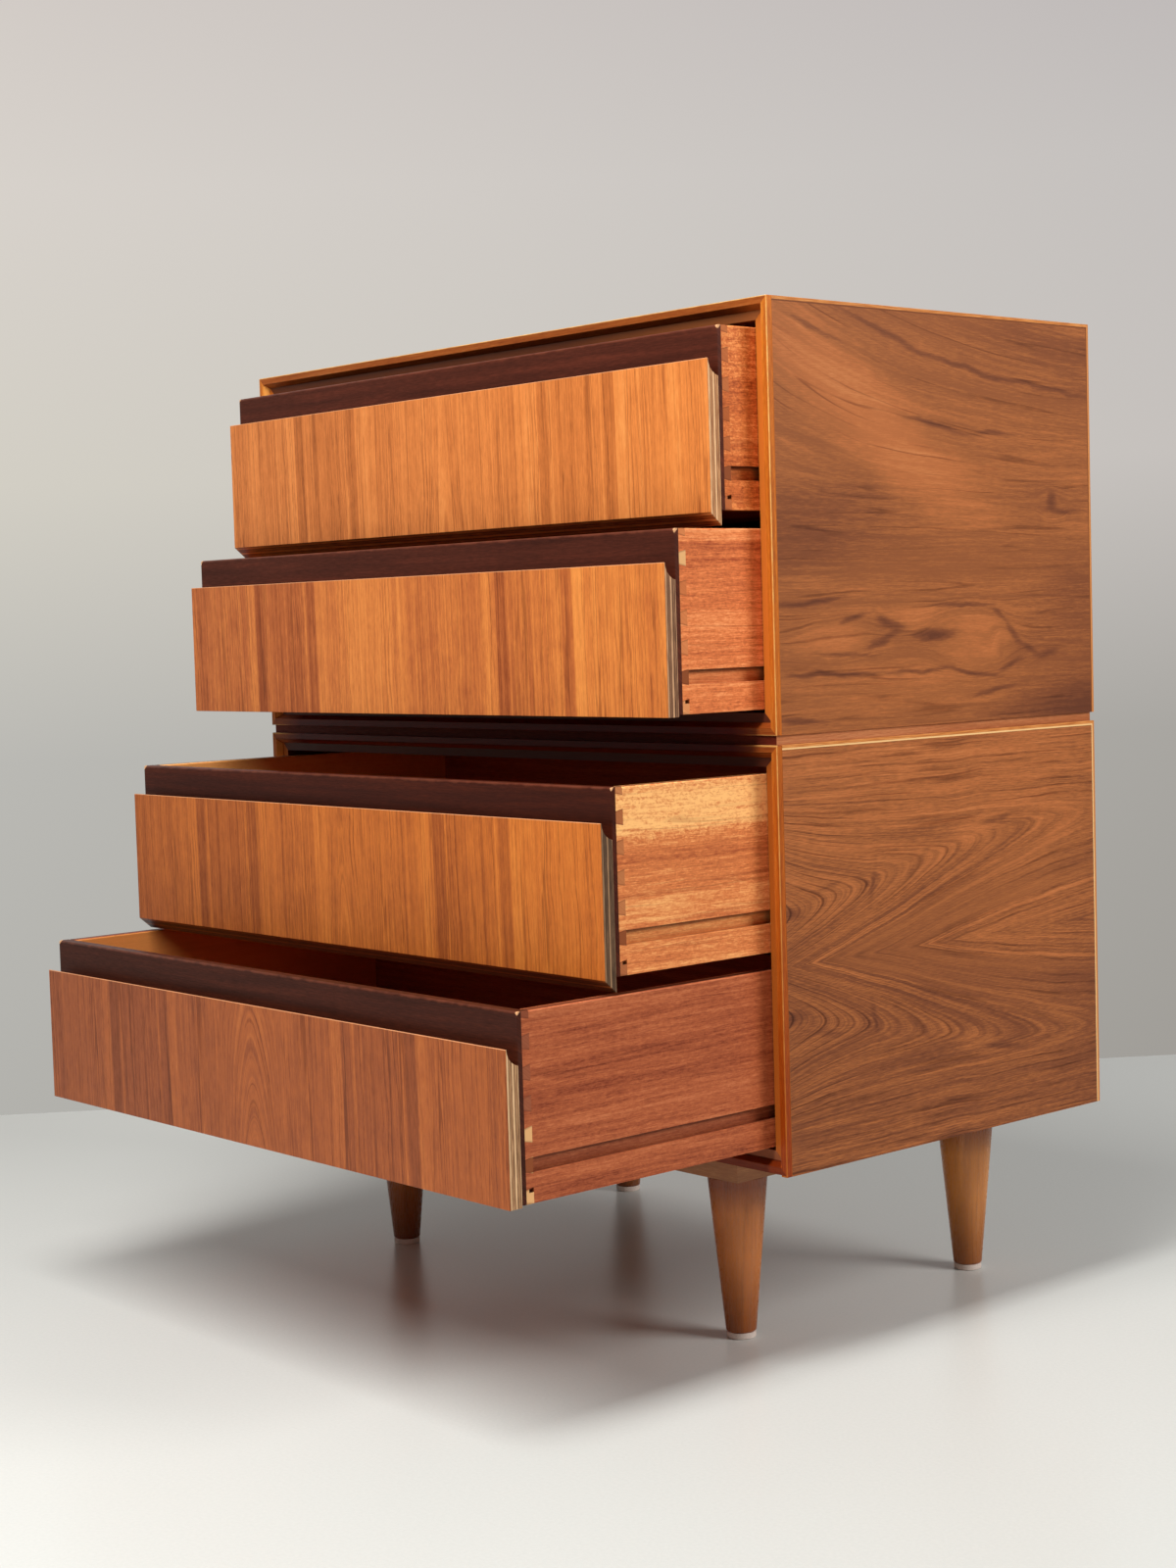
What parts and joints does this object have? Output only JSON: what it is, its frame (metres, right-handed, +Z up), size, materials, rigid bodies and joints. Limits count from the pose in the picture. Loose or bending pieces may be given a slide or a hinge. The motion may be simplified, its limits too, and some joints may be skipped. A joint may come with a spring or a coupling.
{
  "type": "chest of drawers",
  "caption": "Low chest of drawers in two stacked carcases on short turned legs; dovetailed drawers hang on side runners and open by a finger cove behind each front's top lip.",
  "frame": {"origin": "on the floor, under the middle of the carcases", "axes": "+X across to the right as seen from the front, +Z up; the drawers open towards -Y"},
  "size_m": [0.78, 0.7526, 0.9555],
  "materials": {
    "walnut_veneer": "satin lacquered walnut veneer, grain across the sides",
    "edging": "satin lacquered solid walnut strip",
    "back_plywood": "plain plywood, unfinished",
    "beech_runners": "plain beech, waxed",
    "stained_spacer": "dark stained wood, satin",
    "leg_frame_wood": "turned and sawn walnut, satin lacquer",
    "felt_glides": "pressed felt",
    "teak_front": "oiled teak veneer, upright straight grain",
    "stained_box_front": "dark stained hardwood, satin",
    "drawer_box_mahogany": "open-pored mahogany, thin satin lacquer",
    "drawer_bottom_plywood": "thin mahogany-faced plywood",
    "steel_screws": "bright zinc"
  },
  "bodies": {
    "cabinet": {"upper_left_side": "walnut_veneer", "upper_right_side": "walnut_veneer", "upper_top": "walnut_veneer", "upper_bottom": "walnut_veneer", "upper_back": "back_plywood", "upper_front_edging": "edging", "upper_top_left_runner": "beech_runners", "upper_top_right_runner": "beech_runners", "upper_bottom_left_runner": "beech_runners", "upper_bottom_right_runner": "beech_runners", "lower_left_side": "walnut_veneer", "lower_right_side": "walnut_veneer", "lower_top": "walnut_veneer", "lower_bottom": "walnut_veneer", "lower_back": "back_plywood", "lower_front_edging": "edging", "lower_top_left_runner": "beech_runners", "lower_top_right_runner": "beech_runners", "lower_bottom_left_runner": "beech_runners", "lower_bottom_right_runner": "beech_runners", "runner_screws": "steel_screws", "spacer_front": "stained_spacer", "spacer_right": "stained_spacer", "spacer_back": "stained_spacer", "spacer_left": "stained_spacer", "assembly_screws": "steel_screws", "leg_frame_front": "leg_frame_wood", "leg_frame_right": "leg_frame_wood", "leg_frame_back": "leg_frame_wood", "leg_frame_left": "leg_frame_wood", "frame_corner_blocks": "leg_frame_wood", "front_left_leg": "leg_frame_wood", "front_right_leg": "leg_frame_wood", "rear_left_leg": "leg_frame_wood", "rear_right_leg": "leg_frame_wood", "foot_glides": "felt_glides"},
    "drawer_1": {"drawer_1_false_front": "teak_front", "drawer_1_box_front": "stained_box_front", "drawer_1_left_side": "drawer_box_mahogany", "drawer_1_right_side": "drawer_box_mahogany", "drawer_1_back": "drawer_box_mahogany", "drawer_1_bottom": "drawer_bottom_plywood"},
    "drawer_2": {"drawer_2_false_front": "teak_front", "drawer_2_box_front": "stained_box_front", "drawer_2_left_side": "drawer_box_mahogany", "drawer_2_right_side": "drawer_box_mahogany", "drawer_2_back": "drawer_box_mahogany", "drawer_2_bottom": "drawer_bottom_plywood"},
    "drawer_3": {"drawer_3_false_front": "teak_front", "drawer_3_box_front": "stained_box_front", "drawer_3_left_side": "drawer_box_mahogany", "drawer_3_right_side": "drawer_box_mahogany", "drawer_3_back": "drawer_box_mahogany", "drawer_3_bottom": "drawer_bottom_plywood"},
    "drawer_4": {"drawer_4_false_front": "teak_front", "drawer_4_box_front": "stained_box_front", "drawer_4_left_side": "drawer_box_mahogany", "drawer_4_right_side": "drawer_box_mahogany", "drawer_4_back": "drawer_box_mahogany", "drawer_4_bottom": "drawer_bottom_plywood"}
  },
  "joints": [
    {"name": "drawer_1_slide", "type": "slide", "parent": "cabinet", "child": "drawer_1", "axis": [0, -1, 0], "range_m": [-0.06, 0.275]},
    {"name": "drawer_2_slide", "type": "slide", "parent": "cabinet", "child": "drawer_2", "axis": [0, -1, 0], "range_m": [-0.117, 0.218]},
    {"name": "drawer_3_slide", "type": "slide", "parent": "cabinet", "child": "drawer_3", "axis": [0, -1, 0], "range_m": [-0.1975, 0.1375]},
    {"name": "drawer_4_slide", "type": "slide", "parent": "cabinet", "child": "drawer_4", "axis": [0, -1, 0], "range_m": [-0.307, 0.028]}
  ]
}
